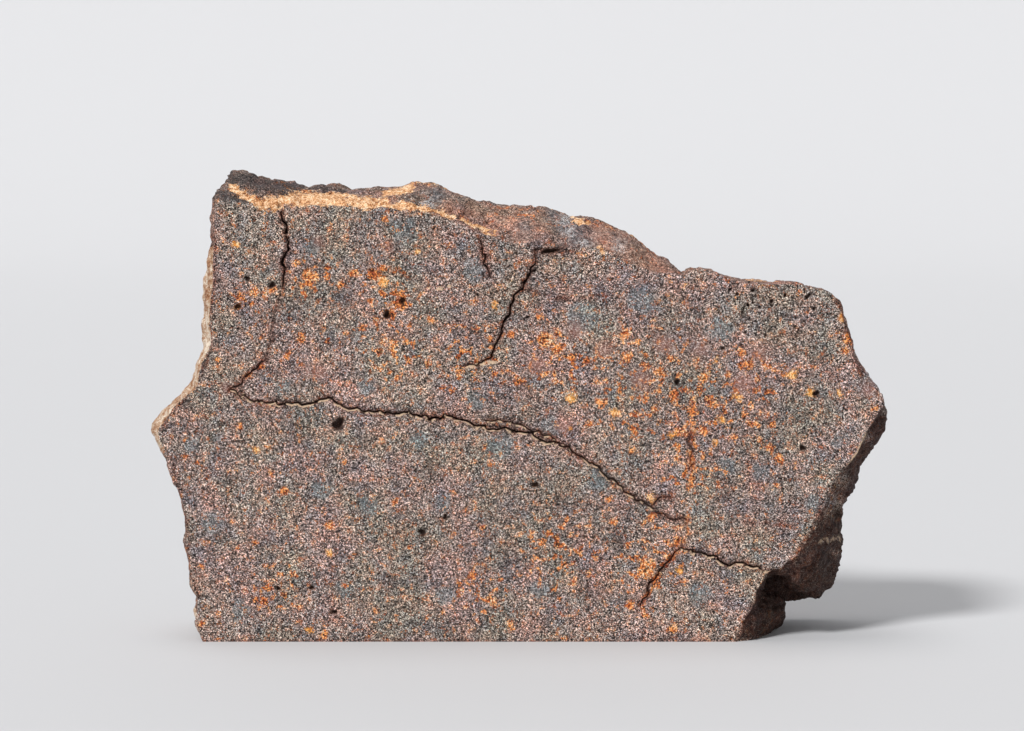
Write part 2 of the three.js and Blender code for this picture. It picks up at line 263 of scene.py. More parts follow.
def boundary_loops(faces):
    """The edges of a patch of faces as closed loops of vertices, and the vertices where loops touch."""
    edges = set()
    for face in faces:
        for start, end in zip(face, face[1:] + face[:1]):
            if (end, start) in edges:
                edges.remove((end, start))
            else:
                edges.add((start, end))
    follow = {}
    pinched = set()
    for start, end in edges:
        if start in follow:
            pinched.add(start)
        follow[start] = end
    loops = []
    while follow and not pinched:
        start, here = next(iter(follow.items()))
        loop = [start]
        del follow[start]
        while here != start:
            loop.append(here)
            here = follow.pop(here)
        loops.append(loop)
    return sorted(loops, key=len, reverse=True), pinched


def side_outline(places, triangles, axis, level):
    """The outer edge of a flat side of the CAD node, as 2D points in order."""
    flat = (np.abs(places[triangles][:, :, axis] - level) < 1e-3).all(axis=1)
    loops, _ = boundary_loops(triangles[flat].tolist())
    return places[loops[0]][:, [a for a in range(3) if a != axis]]


def distance_inside(points, loop):
    """How far each 2D point is inside a closed outline. It is negative outside."""
    starts = np.asarray(loop, float)
    ends = np.roll(starts, -1, axis=0)
    along = ends - starts
    result = np.empty(len(points))
    for first in range(0, len(points), BATCH):
        p = points[first:first + BATCH, None, :]
        share = ((p - starts) * along).sum(-1) / (along ** 2).sum(-1)
        nearest = starts + np.clip(share, 0, 1)[..., None] * along
        distance = np.sqrt(((p - nearest) ** 2).sum(-1)).min(axis=1)
        crosses = (starts[:, 1] > p[..., 1]) != (ends[:, 1] > p[..., 1])
        rise = np.where(along[:, 1] == 0, 1, along[:, 1])
        at = starts[:, 0] + (p[..., 1] - starts[:, 1]) / rise * along[:, 0]
        inside = (crosses & (p[..., 0] < at)).sum(axis=1) % 2 == 1
        result[first:first + BATCH] = np.where(inside, distance, -distance)
    return result


def distance_to_lines(points, starts, ends):
    """Distance of each 2D point to the nearest piece of a line, which piece it is, and on which side."""
    along = ends - starts
    best = np.full(len(points), np.inf)
    piece = np.zeros(len(points), int)
    side = np.zeros(len(points))
    for first in range(0, len(points), BATCH):
        p = points[first:first + BATCH, None, :]
        share = np.clip(((p - starts) * along).sum(-1) / (along ** 2).sum(-1), 0, 1)
        offset = p - (starts + share[..., None] * along)
        distance = np.sqrt((offset ** 2).sum(-1))
        nearest = distance.argmin(axis=1)
        rows = np.arange(len(nearest))
        chosen = slice(first, first + len(nearest))
        best[chosen] = distance[rows, nearest]
        piece[chosen] = nearest
        nearest_along, nearest_offset = along[nearest], offset[rows, nearest]
        side[chosen] = np.sign(
            nearest_along[:, 0] * nearest_offset[:, 1] - nearest_along[:, 1] * nearest_offset[:, 0]
        )
    return best, piece, side


# Cracks and pits


def stray(x, z, layer):
    """Smooth noise from -1 to 1, coarse and fine, by which a crack strays from its course."""
    coarse = noise.noise((x / 0.9, z / 0.9, layer))
    fine = noise.noise((x / 0.35, z / 0.35, layer))
    return 0.6 * coarse + 0.4 * fine


class Hollows:
    """The cracks and pits of the sawn face: their depth at a point, and the points the mesh needs."""

    def __init__(self, outline):
        self.outline = outline
        starts, ends, widths, depths, names = [], [], [], [], []
        for seed, (name, (width, depth, course)) in enumerate(CRACKS.items()):
            line = self.wander(np.array(course, float), seed)
            for i, (start, end) in enumerate(zip(line[:-1], line[1:])):
                share = (i + 0.5) / (len(line) - 1)
                swell = math.sin(math.pi * min(max(share, 0.04), 0.96)) ** 0.4
                rough = 0.8 + 1.9 * noise.noise((i * 0.27, seed * 5.3, 0.5))
                starts.append(start)
                ends.append(end)
                widths.append(width / 2 * swell * max(rough, 0.22))
                depths.append(depth * swell)
                names.append(name)
        self.starts, self.ends = np.array(starts), np.array(ends)
        self.half_widths, self.depths = np.array(widths), np.array(depths)
        self.creamy = np.where(np.isin(names, ("long", "foot", "second")), 1.0, 0.0)
        self.pits = self.all_pits()

    def wander(self, course, seed):
        """A course divided into short steps that stray a little from side to side."""
        line = []
        for start, end in zip(course[:-1], course[1:]):
            steps = max(1, round(np.linalg.norm(end - start) / CRACK_STEP))
            line.extend(start + (end - start) * s / steps for s in range(steps))
        line.append(course[-1])
        strayed = []
        for i, (x, z) in enumerate(line):
            fade = min(1, i / CRACK_FADE, (len(line) - 1 - i) / CRACK_FADE)
            shift_x, shift_z = stray(x, z, seed + 0.3), stray(x, z, seed + 40.6)
            strayed.append((x + shift_x * CRACK_WANDER * fade, z + shift_z * CRACK_WANDER * fade))
        return np.array(strayed)

    def all_pits(self):
        chance = random.Random(11)
        pits = list(PITS)
        while len(pits) < len(PITS) + SMALL_PITS:
            x, z, reach_x, reach_z = chance.choice(SMALL_PIT_FIELDS)
            x += chance.uniform(-reach_x, reach_x)
            z += chance.uniform(-reach_z, reach_z)
            radius = SMALLEST_RADIUS + RADIUS_RANGE * chance.random() ** 2
            if distance_inside(np.array([(x, z)]), self.outline)[0] > PIT_MARGIN:
                pits.append((x, z, radius, radius * SMALL_PIT_DEPTH))
        return np.array(pits)

    def mesh_points(self):
        """Points along both lips and the bottom of every crack, and in rings round every pit."""
        middle = (self.starts + self.ends) / 2
        along = self.ends - self.starts
        across = np.stack([-along[:, 1], along[:, 0]], axis=1) / np.linalg.norm(along, axis=1)[:, None]
        lips = [(0, 0), (0.6, 0), (-0.6, 0), (1, 0), (-1, 0), (1, 0.16), (-1, -0.12), (-1, -0.3)]
        rows = [middle + across * (self.half_widths * share + more)[:, None] for share, more in lips]
        for x, z, radius, _ in self.pits:
            count = 6 if radius < 0.3 else 12
            turns = np.arange(count) / count * math.tau + x
            for share in ((0, 1, 1.5) if radius < 0.3 else (0, 0.4, 0.75, 1, 1.3)):
                if share == 0:
                    rows.append(np.array([(x, z)]))
                else:
                    ring = np.stack([np.cos(turns), np.sin(turns)], axis=1)
                    rows.append((x, z) + ring * radius * share)
        return np.concatenate(rows)

    def depth_at(self, points):
        """Depth of the face at 2D points, and the distance, number and side of the nearest crack piece."""
        distance, piece, side = distance_to_lines(points, self.starts, self.ends)
        half = self.half_widths[piece]
        depth = self.depths[piece] * (1 - smooth(0.3 * half, 1.0 * half + 0.02, distance))
        for x, z, radius, pit_depth in self.pits:
            offset = points - (x, z)
            near = np.abs(offset).max(axis=1) < radius * 2
            turn = np.arctan2(offset[near, 1], offset[near, 0])
            edge = radius * (1 + 0.16 * np.sin(2 * turn + x * 7) + 0.12 * np.sin(3 * turn + z * 5))
            share = np.hypot(offset[near, 0], offset[near, 1]) / edge
            hole = pit_depth * (1 - smooth(0.4, 1.0, share))
            depth[near] = np.maximum(depth[near], hole)
        return depth, distance, piece, side


# The stone's mesh


def voxel_copy(node, drawing):
    """The CAD node's shape as an even closed mesh of small quads: places in the drawing, and faces."""
    piece = bpy.data.objects.new("voxel_copy", node.data.copy())
    bpy.context.scene.collection.objects.link(piece)
    remesh = piece.modifiers.new("Remesh", "REMESH")
    remesh.mode = "VOXEL"
    remesh.voxel_size = VOXEL * MM
    shape = piece.evaluated_get(bpy.context.evaluated_depsgraph_get()).to_mesh()
    places = drawing.from_frame(np.array([v.co for v in shape.vertices]))
    faces = [list(p.vertices) for p in shape.polygons]
    bpy.data.objects.remove(piece)
    return places, faces


def welded(node, drawing):
    """The CAD node's points with no two alike, and its triangles."""
    node.data.calc_loop_triangles()
    places = drawing.from_frame(np.array([v.co for v in node.data.vertices]))
    keys, index = np.unique(np.round(places, 4), axis=0, return_inverse=True)
    triangles = np.array([t.vertices for t in node.data.loop_triangles])
    return keys, index.reshape(-1)[triangles]


def connected(faces, chosen, seeds):
    """The chosen faces that join up, edge to edge, with those in seeds."""
    by_edge = {}
    for f in chosen:
        face = faces[f]
        for start, end in zip(face, face[1:] + face[:1]):
            by_edge.setdefault((min(start, end), max(start, end)), []).append(f)
    found = set(seeds)
    front = list(seeds)
    while front:
        face = faces[front.pop()]
        for start, end in zip(face, face[1:] + face[:1]):
            for other in by_edge[(min(start, end), max(start, end))]:
                if other not in found:
                    found.add(other)
                    front.append(other)
    return found


def grid_points(loop, spacing, margin):
    """Points in a slightly uneven triangular grid, more than margin inside a loop."""
    chance = random.Random(5)
    low, high = loop.min(axis=0), loop.max(axis=0)
    rows = []
    for j in range(int((high[1] - low[1]) / (spacing * ROW_STEP)) + 1):
        for i in range(int((high[0] - low[0]) / spacing) + 1):
            x = low[0] + (i + 0.5 * (j % 2) + chance.uniform(-0.2, 0.2)) * spacing
            rows.append((x, low[1] + (j + chance.uniform(-0.2, 0.2)) * spacing * ROW_STEP))
    points = np.array(rows)
    return points[distance_inside(points, loop) > margin]


def relay_side(places, faces, outline, axis, level, spacing, hollows=None):
    """Replaces the flat part of one side of the mesh by new triangles, dense round cracks and pits."""
    plane = [a for a in range(3) if a != axis]
    inward = np.abs(places[:, axis] - level)
    near = inward < HOLLOW_REACH
    inside = np.zeros(len(places), bool)
    inside[near] = distance_inside(places[near][:, plane], outline) > RIM_BAND
    chosen = {f for f, face in enumerate(faces) if all(inside[v] for v in face)}
    middle = outline.mean(axis=0)
    start = min(chosen, key=lambda f: np.hypot(*(places[faces[f][0]][plane] - middle)))
    patch = connected(faces, chosen, [start])
    loops, pinched = boundary_loops([faces[f] for f in patch])
    while pinched:
        patch |= {f for f, face in enumerate(faces) if pinched.intersection(face)}
        loops, pinched = boundary_loops([faces[f] for f in patch])
    loop = loops[0]
    places[loop, axis] = level
    band = near & ~inside & (inward < VOXEL * 0.6)
    places[band, axis] = level
    edge = places[loop][:, plane]
    points = grid_points(edge, spacing, spacing * 0.5)
    if hollows:
        special = hollows.mesh_points()
        special = special[distance_inside(special, edge) > EDGE_CLEARANCE]
        distance, _, _ = distance_to_lines(points, hollows.starts, hollows.ends)
        clear = distance > CRACK_CLEARANCE
        for x, z, radius, _ in hollows.pits:
            clear &= np.hypot(points[:, 0] - x, points[:, 1] - z) > radius * 1.5 + 0.1
        points = np.concatenate([points[clear], special])
    around = edge[:, 0] * np.roll(edge[:, 1], -1) - edge[:, 1] * np.roll(edge[:, 0], -1)
    if around.sum() < 0:
        loop, edge = loop[::-1], edge[::-1]
    corners = [Vector(p) for p in np.concatenate([edge, points])]
    cut = delaunay_2d_cdt(corners, [], [list(range(len(loop)))], 1, 1e-4)
    coordinates, triangles, sources = cut[0], cut[2], cut[3]
    number = []
    added = []
    for point, source in zip(coordinates, sources):
        own = [s for s in source if s < len(loop)]
        if own:
            number.append(loop[own[0]])
            continue
        number.append(len(places) + len(added))
        place = [level, level, level]
        place[plane[0]], place[plane[1]] = point
        added.append(place)
    turned = (axis == 1) == (level > 1)  # the back faces +Y, and the underside -Z
    kept = [face for f, face in enumerate(faces) if f not in patch]
    for triangle in triangles:
        ordered = triangle[::-1] if turned else triangle
        kept.append([number[v] for v in ordered])
    return np.concatenate([places, np.array(added)]), kept


def used_only(places, faces):
    """Leaves out the places that no face uses."""
    used = sorted({v for face in faces for v in face})
    number = {v: i for i, v in enumerate(used)}
    return places[used], [[number[v] for v in face] for face in faces]


# Marks on the stone


def picture_place(places):
    """The pixel of the picture at which each place shows."""
    tilt = math.atan2(CAMERA_AT[2] - CAMERA_AIM[2], -CAMERA_AT[1])
    offset = places - CAMERA_AT
    ahead = offset[:, 1] * math.cos(tilt) - offset[:, 2] * math.sin(tilt)
    up = offset[:, 1] * math.sin(tilt) + offset[:, 2] * math.cos(tilt)
    scale = LENS / SENSOR * PICTURE[0] / ahead
    return np.stack([PICTURE[0] / 2 + offset[:, 0] * scale, PICTURE[1] / 2 - up * scale], axis=1)


def noise_at(places, size, seed=0):
    """Smooth noise from -1 to 1 at each place, with lumps of the given size."""
    return np.array([noise.noise(Vector(p) / size + Vector((seed, seed, 0))) for p in places.tolist()])


def spots(pixels, marks):
    """How far into the nearest of some round marks each pixel is: 1 in its middle, 0 well outside."""
    result = np.zeros(len(pixels))
    for u, v, radius in marks:
        distance = np.hypot(pixels[:, 0] - u, pixels[:, 1] - v) / radius
        result = np.maximum(result, np.exp(-distance ** 2))
    return result


def strokes(pixels, marks):
    """The same for marks along lines, each given as its half width and its course."""
    result = np.zeros(len(pixels))
    for half_width, course in marks:
        line = np.array(course, float)
        distance, _, _ = distance_to_lines(pixels, line[:-1], line[1:])
        result = np.maximum(result, np.exp(-(distance / half_width) ** 2))
    return result


def vertex_normals(places, faces):
    """The direction in which the surface faces at each point."""
    first, second, third, last = (places[[face[i] for face in faces]] for i in (0, 1, 2, -1))
    facing = np.cross(third - first, last - second)
    three = np.array([len(face) == 3 for face in faces])
    facing[three] = np.cross(second - first, third - first)[three]
    normals = np.zeros_like(places)
    for i in range(4):
        rows = np.array([len(face) > i for face in faces])
        np.add.at(normals, [face[i] for face in faces if len(face) > i], facing[rows])
    return normals / np.maximum(np.linalg.norm(normals, axis=1), 1e-12)[:, None]


def marks_on(places, normals, outline, hollows):
    """What the stone shows at each of its points: a value from 0 to 1 for each kind of mark."""
    pixels = picture_place(places)
    x, depth, z = places.T
    astray = np.stack([noise_at(places, 1.1, 3), noise_at(places, 1.1, 9)], axis=1) * 3.5
    finer = np.stack([noise_at(places, 0.45, 13), noise_at(places, 0.45, 19)], axis=1) * 1.8
    ragged = pixels + astray + finer
    sawn = (depth < ON_SIDE) | (depth > THICKNESS - ON_SIDE) | (z < ON_SIDE)
    natural = np.where(sawn, 0.0, 1.0)
    facing_picture = 1 - smooth(10, 15, depth)
    top = natural * smooth(38, 41, z) * smooth(0.1, 0.45, normals[:, 2])
    left = natural * smooth(-33, -35, x) * smooth(0.2, 0.5, -normals[:, 0])
    edge = z + 3 * noise_at(places, 3.5, 17) + 1.2 * noise_at(places, 1, 18)
    broken = natural * smooth(26.5, 28, x) * (1 - smooth(29, 31.5, edge))
    vein = strokes(ragged, BREAK_VEIN) * broken
    broken = broken * (1 - 0.75 * np.maximum(spots(ragged, BREAK_GRAIN) * facing_picture, vein))
    patchy = 0.5 + 0.5 * noise_at(places, 3.1, 7)
    front = np.where(depth < HOLLOW_REACH, 1.0, 0.0)
    hollow, distance, piece, side = hollows.depth_at(places[:, [0, 2]])
    beside = distance - hollows.half_widths[piece] - 0.1
    lower_lip = np.exp(-(beside / 0.12) ** 2) * (side < 0) * hollows.creamy[piece]
    lower_lip *= smooth(-0.3, 0.2, noise_at(places, 0.6, 31))
    layered = strokes(ragged, LAYERED_ROCK) * natural
    rusty_elsewhere = 0.8 * smooth(0.0, 0.4, noise_at(places, 8, 23))
    rind_behind = 0.5 * top * smooth(0.5, 0.75, patchy) * smooth(9, 13, depth)
    crusted_left = left * smooth(22, 26, z) * (1 - smooth(46, 49, z))
    crusted_left *= smooth(0.25, 0.5, patchy + 0.25 * (1 - smooth(3, 8, depth)))
    named = {
        "rust": np.maximum.reduce([
            spots(ragged, DEEP_RED), spots(ragged, ORANGE), spots(ragged, YELLOW),
            0.72 * strokes(ragged, RUST_LINES),
        ]) * front,
        "rusty": np.where(front > 0, np.maximum(spots(pixels, RUSTY_FIELDS), 0.44), rusty_elsewhere),
        "yellow": spots(ragged, YELLOW) * front,
        "deep": spots(pixels, DEEP_RED) * front,
        "pink": spots(ragged, PINK) * front,
        "stain_and_shadow": np.maximum(strokes(ragged, STAIN_AND_SHADOW_LINES), np.exp(-(distance / 0.4) ** 2)) * front,
        "tan": np.maximum(np.maximum(strokes(pixels, TAN_LINES), lower_lip) * front, vein),
        "pale": smooth(0.33, 0.42, spots(ragged, PALE_BODIES)) * front,
        "dark": spots(ragged, DARK_BODIES) * front,
        # How deep a point lies in a crack or pit, where the material paints shade.
        "hollow": smooth(0.04, 0.27, hollow) * front,
        "rind": np.maximum(strokes(ragged, RIND) * facing_picture, rind_behind),
        "layered": layered,
        "grey": spots(ragged, GREY_PATCHES) * natural * facing_picture,
        "white": spots(ragged, WHITE_PATCHES) * natural * facing_picture,
        "crust": np.maximum(strokes(ragged, CRUST) * natural, crusted_left),
        "rosy": spots(ragged, ROSY) * natural * facing_picture,
        "weathered": np.maximum(top, left * 0.9) * (1 - 0.8 * layered),
        # The broken faces, which the material paints dark with shade as well as with their own colour.
        "broken": broken,
        "natural": natural,
    }
    return named, hollow * front


def ridges(places, size, seed):
    return 1 - np.abs(noise_at(places, size, seed)) * 2


def shaped(places, normals, named, hollow):
    """Moves the points: natural faces get lumps and ridges, the sawn face its cracks and pits."""
    x, depth, z = places.T
    free = smooth(0, 0.9, depth) * smooth(0, 1.2, THICKNESS - depth) * smooth(0, 1.0, z)
    free = free * named["natural"]
    lumps = 0.3 * noise_at(places, 2.3) + 0.2 * noise_at(places, 1.1, 2)
    lumps = lumps + 0.14 * noise_at(places, 0.55, 4)
    lumps -= 0.35 * smooth(0.12, 0.5, noise_at(places, 0.8, 21))
    broken = 0.38 * ridges(places, 2.8, 6) + 0.24 * ridges(places, 1.2, 8)
    broken = broken + 0.12 * noise_at(places, 0.5, 1) - 0.3
    crust = 0.22 + 0.25 * noise_at(places, 1.3, 5)
    layers = 0.16 * np.sin((z + 0.25 * x + 0.5 * noise_at(places, 2, 3)) * 9)
    rise = lumps * (1 - 0.4 * named["crust"]) + broken * named["broken"]
    rise += crust * named["crust"] + layers * named["layered"]
    moved = places + normals * (rise * free)[:, None]
    on_front = (depth < ON_SIDE) & (hollow > 0)
    moved[on_front, 1] += hollow[on_front]
    notched = (depth >= ON_SIDE) & (depth < 1.5) & (hollow > 0) & (named["natural"] > 0)
    moved[notched] -= normals[notched] * np.minimum(hollow[notched], 0.5)[:, None]
    face = (depth < ON_SIDE) & (hollow == 0)
    moved[face, 1] += FACE_RELIEF * (1 + noise_at(places[face], 0.9))
    moved[:, 1] = np.clip(moved[:, 1], 0, THICKNESS)
    moved[:, 2] = np.maximum(moved[:, 2], 0)
    return moved


def bake_map(mesh, places, normals):
    """Lays the surface out on a flat square, for baking. The sawn face takes most of it, and the other
    five sides are smaller and lie below."""
    low, high = places.min(axis=0), places.max(axis=0)
    unit = 0.98 / (high[0] - low[0])
    layout = {  # direction: across, up, scale and place of its lower left corner in the square
        (1, -1): (0, 2, 1, (0.01, 0.365)),
        (1, 1): (0, 2, 0.52, (0.01, 0.01)),
        (0, -1): (1, 2, 0.52, (0.54, 0.01)),
        (0, 1): (1, 2, 0.52, (0.66, 0.01)),
        (2, 1): (1, 0, 0.36, (0.78, 0.01)),
        (2, -1): (1, 0, 0.36, (0.87, 0.01)),
    }
    corners = np.empty(len(mesh.loops), int)
    mesh.loops.foreach_get("vertex_index", corners)
    facing = np.zeros((len(mesh.loops), 3))
    for polygon in mesh.polygons:
        facing[polygon.loop_indices] = normals[list(polygon.vertices)].mean(axis=0)
    facing[:, 1] *= 1.15
    side = np.abs(facing).argmax(axis=1)
    sign = np.where(facing[np.arange(len(side)), side] < 0, -1, 1)
    spread = np.zeros((len(corners), 2))
    for (axis, way), (across, up, scale, start) in layout.items():
        rows = (side == axis) & (sign == way)
        flat = places[corners[rows]][:, [across, up]] - low[[across, up]]
        spread[rows] = np.array(start) + flat * unit * scale
    layer = mesh.uv_layers.new(name="OFBake")
    layer.data.foreach_set("uv", spread.astype(np.float32).ravel())


def stone_piece(drawing, places, faces, named):
    mesh = bpy.data.meshes.new("olivine_slice")
    mesh.from_pydata(drawing.to_frame(places).tolist(), [], faces)
    for name, values in named.items():
        layer = mesh.attributes.new(name, "FLOAT", "POINT")
        layer.data.foreach_set("value", np.clip(values, 0, 1).astype(np.float32))
    mesh.shade_smooth()
    mesh.validate()
    bake_map(mesh, places, vertex_normals(places, faces))
    piece = bpy.data.objects.new("olivine_slice", mesh)
    bpy.context.scene.collection.objects.link(piece)
    return piece


# Material


class Nodes:
    """Short ways to add nodes to a material."""

    def __init__(self, material):
        self.tree = material.node_tree

    def add(self, kind, settings=(), inputs=()):
        new = self.tree.nodes.new(kind)
        for name, value in dict(settings).items():
            setattr(new, name, value)
        for name, value in dict(inputs).items():
            if isinstance(value, bpy.types.NodeSocket):
                self.tree.links.new(value, new.inputs[name])
            else:
                new.inputs[name].default_value = value
        return new

    def mark(self, name):
        return self.add("ShaderNodeAttribute", {"attribute_name": name}).outputs["Fac"]

    def share(self, name, amount):
        """A mark made weaker."""
        return self.math("MULTIPLY", self.mark(name), amount)

    def math(self, operation, first, second=0.0, third=0.0):
        settings = {"operation": operation}
        return self.add("ShaderNodeMath", settings, {0: first, 1: second, 2: third}).outputs[0]

    def ramp(self, factor, stops, interpolation="LINEAR"):
        new = self.add("ShaderNodeValToRGB", inputs={"Fac": factor})
        new.color_ramp.interpolation = interpolation
        for _ in stops[2:]:
            new.color_ramp.elements.new(0.5)
        for element, (position, colour) in zip(new.color_ramp.elements, stops):
            element.position = position
            element.color = (*colour, 1)
        return new.outputs["Color"]

    def mix(self, factor, first, second, blend="MIX"):
        settings = {"data_type": "RGBA", "blend_type": blend}
        new = self.add("ShaderNodeMix", settings, {"Factor": factor})
        for socket, value in ((new.inputs[6], first), (new.inputs[7], second)):
            if isinstance(value, bpy.types.NodeSocket):
                self.tree.links.new(value, socket)
            else:
                socket.default_value = (*value, 1)
        return new.outputs[2]

    def noise(self, vector, scale, detail=2.0, roughness=0.6):
        inputs = {"Vector": vector, "Scale": scale, "Detail": detail, "Roughness": roughness}
        return self.add("ShaderNodeTexNoise", inputs=inputs).outputs["Fac"]

    def cells(self, vector, scale):
        """Random numbers, three for each cell of a crowd of small cells."""
        new = self.add("ShaderNodeTexVoronoi", inputs={"Vector": vector, "Scale": scale})
        return self.add("ShaderNodeSeparateColor", inputs={"Color": new.outputs["Color"]}).outputs


# Colours of the grains; the whitest are partly white grains and partly painted glints.
GRAIN_AND_GLINT_COLOURS = [
    (0.0, (0.006, 0.0048, 0.0043)),
    (0.185, (0.05, 0.04, 0.036)),
    (0.375, (0.15, 0.122, 0.11)),
    (0.56, (0.36, 0.305, 0.278)),
    (0.765, (0.72, 0.63, 0.582)),
    (0.878, (0.37, 0.2, 0.145)),
    (0.93, (1.0, 0.95, 0.9)),
]
RUST_COLOURS = [
    (0.0, (0.028, 0.008, 0.005)),
    (0.2, (0.2, 0.036, 0.013)),
    (0.4, (0.5, 0.11, 0.035)),
    (0.6, (0.86, 0.28, 0.065)),
    (0.82, (0.96, 0.5, 0.19)),
    (1.0, (1.0, 0.78, 0.52)),
]
PALE_COLOURS = [(0.0, (0.055, 0.058, 0.06)), (0.5, (0.17, 0.178, 0.182)), (1.0, (0.44, 0.45, 0.46))]
EARTHY_COLOURS = [(0.34, (0.025, 0.011, 0.008)), (0.5, (0.16, 0.088, 0.066)), (0.66, (0.42, 0.28, 0.22))]
LAYERED_COLOURS = [(0.3, (0.01, 0.009, 0.01)), (0.6, (0.07, 0.06, 0.06))]
GREY_COLOURS = [(0.38, (0.025, 0.027, 0.033)), (0.5, (0.09, 0.095, 0.105)), (0.64, (0.34, 0.34, 0.35))]
ROSY_COLOURS = [(0.36, (0.08, 0.03, 0.02)), (0.49, (0.38, 0.19, 0.135)), (0.64, (0.7, 0.45, 0.35))]
# Dark brown of the broken faces, made darker still as painted shade, since they face away from the light.
BROKEN_AND_SHADED_COLOURS = [
    (0.34, (0.009, 0.0016, 0.0008)),
    (0.52, (0.026, 0.006, 0.003)),
    (0.7, (0.09, 0.034, 0.02)),
]
RIND_COLOURS = [
    (0.05, (0.12, 0.035, 0.014)),
    (0.32, (0.46, 0.18, 0.06)),
    (0.6, (0.82, 0.44, 0.2)),
    (0.9, (1.0, 0.79, 0.55)),
]
CREAM_COLOURS = [
    (0.0, (0.16, 0.06, 0.025)),
    (0.3, (0.4, 0.2, 0.1)),
    (0.6, (0.45, 0.32, 0.22)),
    (0.95, (0.76, 0.65, 0.53)),
]
# Tints for low to high noise, which grains in clumps share.
CLUMP_TINTS = [(0.3, (0.68, 0.75, 0.86)), (0.5, (1.0, 0.945, 0.925)), (0.7, (1.2, 0.955, 0.86))]
DRIFT_TINTS = [(0.35, (0.96, 1.02, 0.94)), (0.65, (1.05, 0.96, 0.98))]
BLOTCH_TINTS = [(0.32, (0.74, 0.74, 0.76)), (0.68, (1.26, 1.25, 1.22))]
CLUSTER_TINTS = [(0.34, (0.8, 0.8, 0.82)), (0.66, (1.2, 1.2, 1.18))]
BROAD_TINTS = [(0.35, (0.88, 0.88, 0.89)), (0.65, (1.12, 1.1, 1.08))]
SPRINKLED = [(0.49, (0.0, 0.0, 0.0)), (0.62, (1.0, 1.0, 1.0))]
# What the stone's colour is multiplied by where it has a mark.
PALE_CAST = (0.8, 0.98, 1.08)
DARK_CAST = (0.46, 0.45, 0.48)
RUST_CAST = (1.0, 0.58, 0.4)
STAIN_AND_SHADOW_CAST = (0.42, 0.22, 0.17)
WEATHERED_CAST = (0.83, 0.66, 0.59)
LAYERED_CAST = (0.36, 0.35, 0.37)
ROSY_CAST = (1.3, 1.18, 1.1)
# Plain colours.
YELLOW_RUST = (0.86, 0.48, 0.07)
# Painted shade: near-black brown for small pits in the thickest rust, which have no shape of their own.
PAINTED_SHADE_IN_RUST_PITS = (0.03, 0.011, 0.007)
RED_GRAIN = (0.36, 0.11, 0.05)
PINK_GRAIN = (0.4, 0.17, 0.13)
CREAM_LIP = (0.72, 0.52, 0.35)
WHITE_GRAIN = (0.66, 0.66, 0.66)
# Painted glint: a bright colour given to a few grains of the broken faces.
PAINTED_GLINT = (0.3, 0.24, 0.2)
# Painted shade: the insides of cracks and pits are coloured near black-brown.
PAINTED_SHADE_IN_HOLLOWS = (0.026, 0.011, 0.007)


class Patterns:
    """Crowds of grains in two sizes and noise in several, the finest first. All are per millimetre."""

    def __init__(self, nodes):
        metres = nodes.add("ShaderNodeTexCoord").outputs["Object"]
        to_mm = {"Vector": metres, "Scale": 1000.0}
        self.place = nodes.add("ShaderNodeVectorMath", {"operation": "SCALE"}, to_mm).outputs[0]
        self.grain = nodes.cells(self.place, 6.6)
        self.fine = nodes.cells(self.place, 10.5)
        self.blotch = nodes.noise(self.place, 2.4, 3.0, 0.6)
        self.streak = nodes.noise(self.place, 1.6, 4.0, 0.65)
        self.cluster = nodes.noise(self.place, 1.0, 2.5, 0.6)
        self.clump = nodes.noise(self.place, 0.33, 3.0, 0.6)
        self.drift = nodes.noise(self.place, 0.19, 2.0, 0.5)
        self.broad = nodes.noise(self.place, 0.09, 2.0, 0.5)


def grain_colour(nodes, patterns):
    """Grains of the sawn stone, tinted in clumps. The whitest are partly white grains and partly painted
    glints.
    """
    coarse = nodes.ramp(patterns.grain["Red"], GRAIN_AND_GLINT_COLOURS, "CONSTANT")
    fine = nodes.ramp(patterns.fine["Red"], GRAIN_AND_GLINT_COLOURS, "CONSTANT")
    colour = nodes.mix(nodes.math("GREATER_THAN", patterns.fine["Green"], 0.45), coarse, fine)
    tints = [
        (patterns.clump, CLUMP_TINTS), (patterns.drift, DRIFT_TINTS), (patterns.blotch, BLOTCH_TINTS),
        (patterns.cluster, CLUSTER_TINTS), (patterns.broad, BROAD_TINTS),
    ]
    for pattern, stops in tints:
        colour = nodes.mix(1.0, colour, nodes.ramp(pattern, stops), "MULTIPLY")
    return colour


def with_mineral_bodies(nodes, patterns, colour):
    pale = nodes.ramp(patterns.fine["Red"], PALE_COLOURS)
    colour = nodes.mix(nodes.mark("pale"), colour, PALE_CAST, "MULTIPLY")
    colour = nodes.mix(nodes.share("pale", 0.3), colour, pale)
    return nodes.mix(nodes.share("dark", 0.7), colour, DARK_CAST, "MULTIPLY")


def rust_hue(nodes, patterns):
    """Where in its range of colours the rust is at each grain, from nearly black to pale orange."""
    hue = nodes.math("MULTIPLY_ADD", nodes.mark("yellow"), 0.26, -0.08)
    hue = nodes.math("SUBTRACT", hue, nodes.share("deep", 0.25))
    hue = nodes.math("MULTIPLY_ADD", nodes.math("SUBTRACT", patterns.clump, 0.5), 1.1, hue)
    return nodes.math("MULTIPLY_ADD", patterns.grain["Green"], 1.05, hue)


